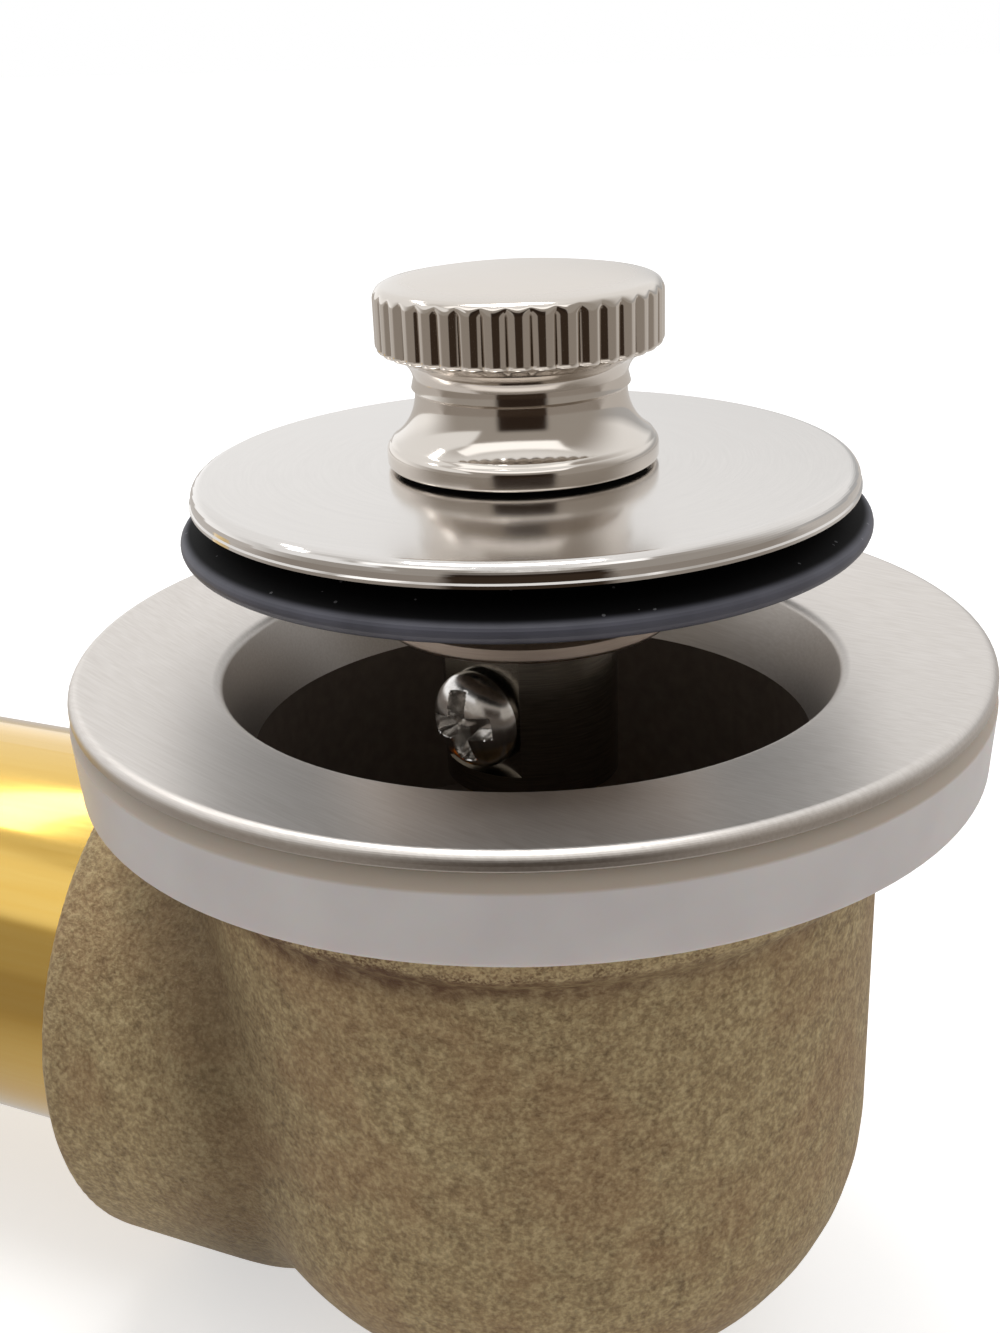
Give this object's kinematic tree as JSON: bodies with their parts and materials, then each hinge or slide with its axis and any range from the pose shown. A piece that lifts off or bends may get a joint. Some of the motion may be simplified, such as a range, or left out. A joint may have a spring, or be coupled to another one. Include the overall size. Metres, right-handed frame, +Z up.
{
  "type": "rotary bath drain",
  "caption": "Bath drain: dished flange, bevelled washer and cast elbow shoe with a waste tube; a fluted knob turns a rubber-sealed stopper down on a cam post.",
  "frame": {"origin": "on the drain's axis, at the underside of the flange rim, where it seats", "axes": "+Z up along the drain's axis, -X along the waste tube"},
  "size_m": [0.1766, 0.0732, 0.0929],
  "materials": {
    "cast_brass": "sand cast, dull and grainy",
    "polished_brass": "polished",
    "plain_brass": "turned",
    "white_plastic": "milky, slightly translucent",
    "satin_nickel": "brushed nickel plate",
    "polished_nickel": "polished nickel plate",
    "dark_nickel": "thin nickel plate",
    "steel": "plain stainless",
    "black_rubber": "moulded"
  },
  "bodies": {
    "drain": {"shoe": "cast_brass", "waste_tube": "polished_brass", "bath_washer": "white_plastic", "strainer_body": "satin_nickel", "post": "plain_brass", "lock_washer": "steel", "post_nut": "plain_brass"},
    "lift_ring": {"glide_ring": "black_rubber"},
    "stopper": {"sleeve": "dark_nickel", "seal_retainer": "polished_nickel", "stopper_seal": "black_rubber", "stopper_plate": "satin_nickel", "knob_gasket_ring": "black_rubber", "knob": "polished_nickel", "knob_stud": "steel", "guide_screw": "steel"}
  },
  "joints": [
    {"name": "stopper_lift", "type": "slide", "parent": "drain", "child": "lift_ring", "axis": [0, 0, 1], "range_m": [-0.0105, 0]},
    {"name": "stopper_turn", "type": "hinge", "parent": "lift_ring", "child": "stopper", "pos_m": [0, 0, 0], "axis": [0, 0, 1], "range_deg": [-120, 0]}
  ],
  "couplings": [
    {"joint": "stopper_lift", "follows": "stopper_turn", "m_per_rad": 0.0050134}
  ]
}
